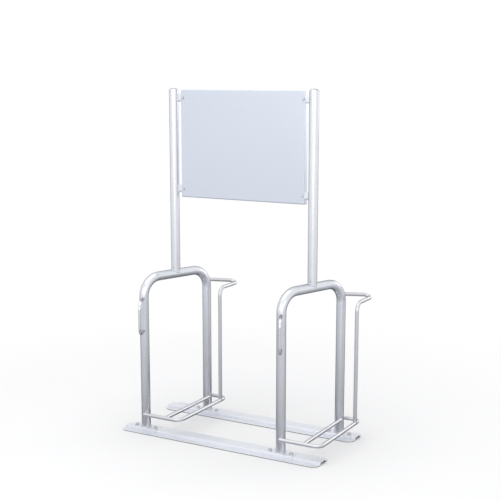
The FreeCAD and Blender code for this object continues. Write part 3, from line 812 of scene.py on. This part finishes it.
world = bpy.data.worlds.new("studio")
bpy.context.scene.world = world
world.use_nodes = True
sky = world.node_tree
ambient = sky.nodes["Background"]
ambient.inputs["Color"].default_value = (0.97, 0.98, 1.0, 1)
ambient.inputs["Strength"].default_value = 0.82
surround = sky.nodes.new("ShaderNodeBackground")
surround.inputs["Color"].default_value = (1, 1, 1, 1)
surround.inputs["Strength"].default_value = 1.0
choice = sky.nodes.new("ShaderNodeMixShader")
link_nodes(
    sky,
    (direct_sight(sky), choice.inputs["Fac"]),
    (ambient.outputs["Background"], choice.inputs[1]),
    (surround.outputs["Background"], choice.inputs[2]),
    (choice.outputs["Shader"], sky.nodes["World Output"].inputs["Surface"]),
)


def softbox(name, spot, aim, size, watts):
    """A square area lamp at a spot, turned to a point."""
    lamp = bpy.data.lights.new(name, "AREA")
    lamp.shape = "SQUARE"
    lamp.size = size
    lamp.energy = watts
    item = bpy.data.objects.new(name, lamp)
    item.location = spot
    item.rotation_euler = (Vector(aim) - Vector(spot)).to_track_quat("-Z", "Y").to_euler()
    bpy.context.scene.collection.objects.link(item)


softbox("top_lamp", spot=(-0.3, -0.8, 4.4), aim=(0, 0, 0.5), size=4.0, watts=45)
softbox("front_lamp", spot=(3.4, -6.6, 2.2), aim=(0, 0, 1.2), size=3.0, watts=50)
softbox("left_lamp", spot=(-1.0, -5.2, 2.6), aim=(0, 0, 1.5), size=2.0, watts=12)
softbox("right_lamp", spot=(5.6, -3.2, 2.6), aim=(0, 0, 1.5), size=2.0, watts=14)
softbox("back_lamp", spot=(2.6, 5.2, 2.4), aim=(0, 0, 1.3), size=2.0, watts=30)

card_radius = 12.0
card_height = -0.0003


def reflection_shade_card():
    """A glowing card that only the metal's reflections see, with painted shade: dark under the stand
    and behind it, paler to the front.
    """
    blue_lift = 1.03
    finish = bpy.data.materials.new("reflection_shade_card")
    finish.use_nodes = True
    tree = finish.node_tree
    tree.nodes.remove(tree.nodes["Principled BSDF"])
    place = tree.nodes.new("ShaderNodeTexCoord")
    reach = tree.nodes.new("ShaderNodeVectorMath")
    reach.operation = "LENGTH"
    behind = tree.nodes.new("ShaderNodeVectorMath")
    behind.operation = "DOT_PRODUCT"
    behind.inputs[1].default_value = (-0.15, 0.26, 0)
    away = tree.nodes.new("ShaderNodeMath")
    away.operation = "SUBTRACT"
    fade = tree.nodes.new("ShaderNodeValToRGB")
    ramp = fade.color_ramp
    ramp.elements[0].position = 0.0
    ramp.elements[0].color = (0.12, 0.12, 0.125, 1)
    ramp.elements[1].position = 1.0
    ramp.elements[1].color = (1, 1, 1, 1)
    # Painted shade in the reflections: darkest under the stand, lighter with distance and further to
    # the front.
    for distance, grey in (
        (0.5, 0.29), (0.9, 0.47), (1.5, 0.55), (2.5, 0.64), (5.5, 0.82), (7.0, 0.87), (8.2, 0.97),
    ):
        mark = ramp.elements.new(distance / card_radius)
        mark.color = (grey, grey, grey * blue_lift, 1)
    scale = tree.nodes.new("ShaderNodeMath")
    scale.operation = "DIVIDE"
    scale.inputs[1].default_value = card_radius
    glow = tree.nodes.new("ShaderNodeEmission")
    link_nodes(
        tree,
        (place.outputs["Object"], reach.inputs[0]),
        (place.outputs["Object"], behind.inputs[0]),
        (reach.outputs["Value"], away.inputs[0]),
        (behind.outputs["Value"], away.inputs[1]),
        (away.outputs["Value"], scale.inputs[0]),
        (scale.outputs["Value"], fade.inputs["Fac"]),
        (fade.outputs["Color"], glow.inputs["Color"]),
        (glow.outputs["Emission"], tree.nodes["Material Output"].inputs["Surface"]),
    )
    return finish


# The card is cut away under the rails, so their hollows reflect the dark ground.
sheet = round_sheet(card_radius)
for name in ("front_rail", "rear_rail"):
    low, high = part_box(name)
    for plane in (Vector((1, 0, 0)), Vector((0, 1, 0))):
        for spot in (low, high):
            whole = sheet.verts[:] + sheet.edges[:] + sheet.faces[:]
            bmesh.ops.bisect_plane(sheet, geom=whole, plane_co=spot, plane_no=plane)
    under = []
    for face in sheet.faces:
        middle = face.calc_center_median()
        if low[0] < middle.x < high[0] and low[1] < middle.y < high[1]:
            under.append(face)
    bmesh.ops.delete(sheet, geom=under, context="FACES")
card = laid_out("reflection_shade_card", sheet, reflection_shade_card(), card_height)
card.visible_camera = False
card.visible_diffuse = False
card.visible_shadow = False
card.visible_transmission = False


# Camera. It stands in front and to the right, a little above the posts' tops, with
# the frame moved up slightly as in the photograph.

photo_width = 500.0
focal_length = 1052.0
frame_rise = 20.0
pitch = 10.325
yaw = 29.517
sight = bpy.data.cameras.new("photo_camera")
sight.sensor_width = 36.0
sight.lens = focal_length * sight.sensor_width / photo_width
sight.shift_y = frame_rise / photo_width
sight.clip_end = 100.0
camera = bpy.data.objects.new("photo_camera", sight)
camera.location = (2.7114, -4.7132, 1.8772)
camera.rotation_euler = (math.radians(90.0 - pitch), 0.0, math.radians(yaw))
bpy.context.scene.collection.objects.link(camera)
bpy.context.scene.camera = camera
bpy.context.scene.view_settings.view_transform = "Standard"
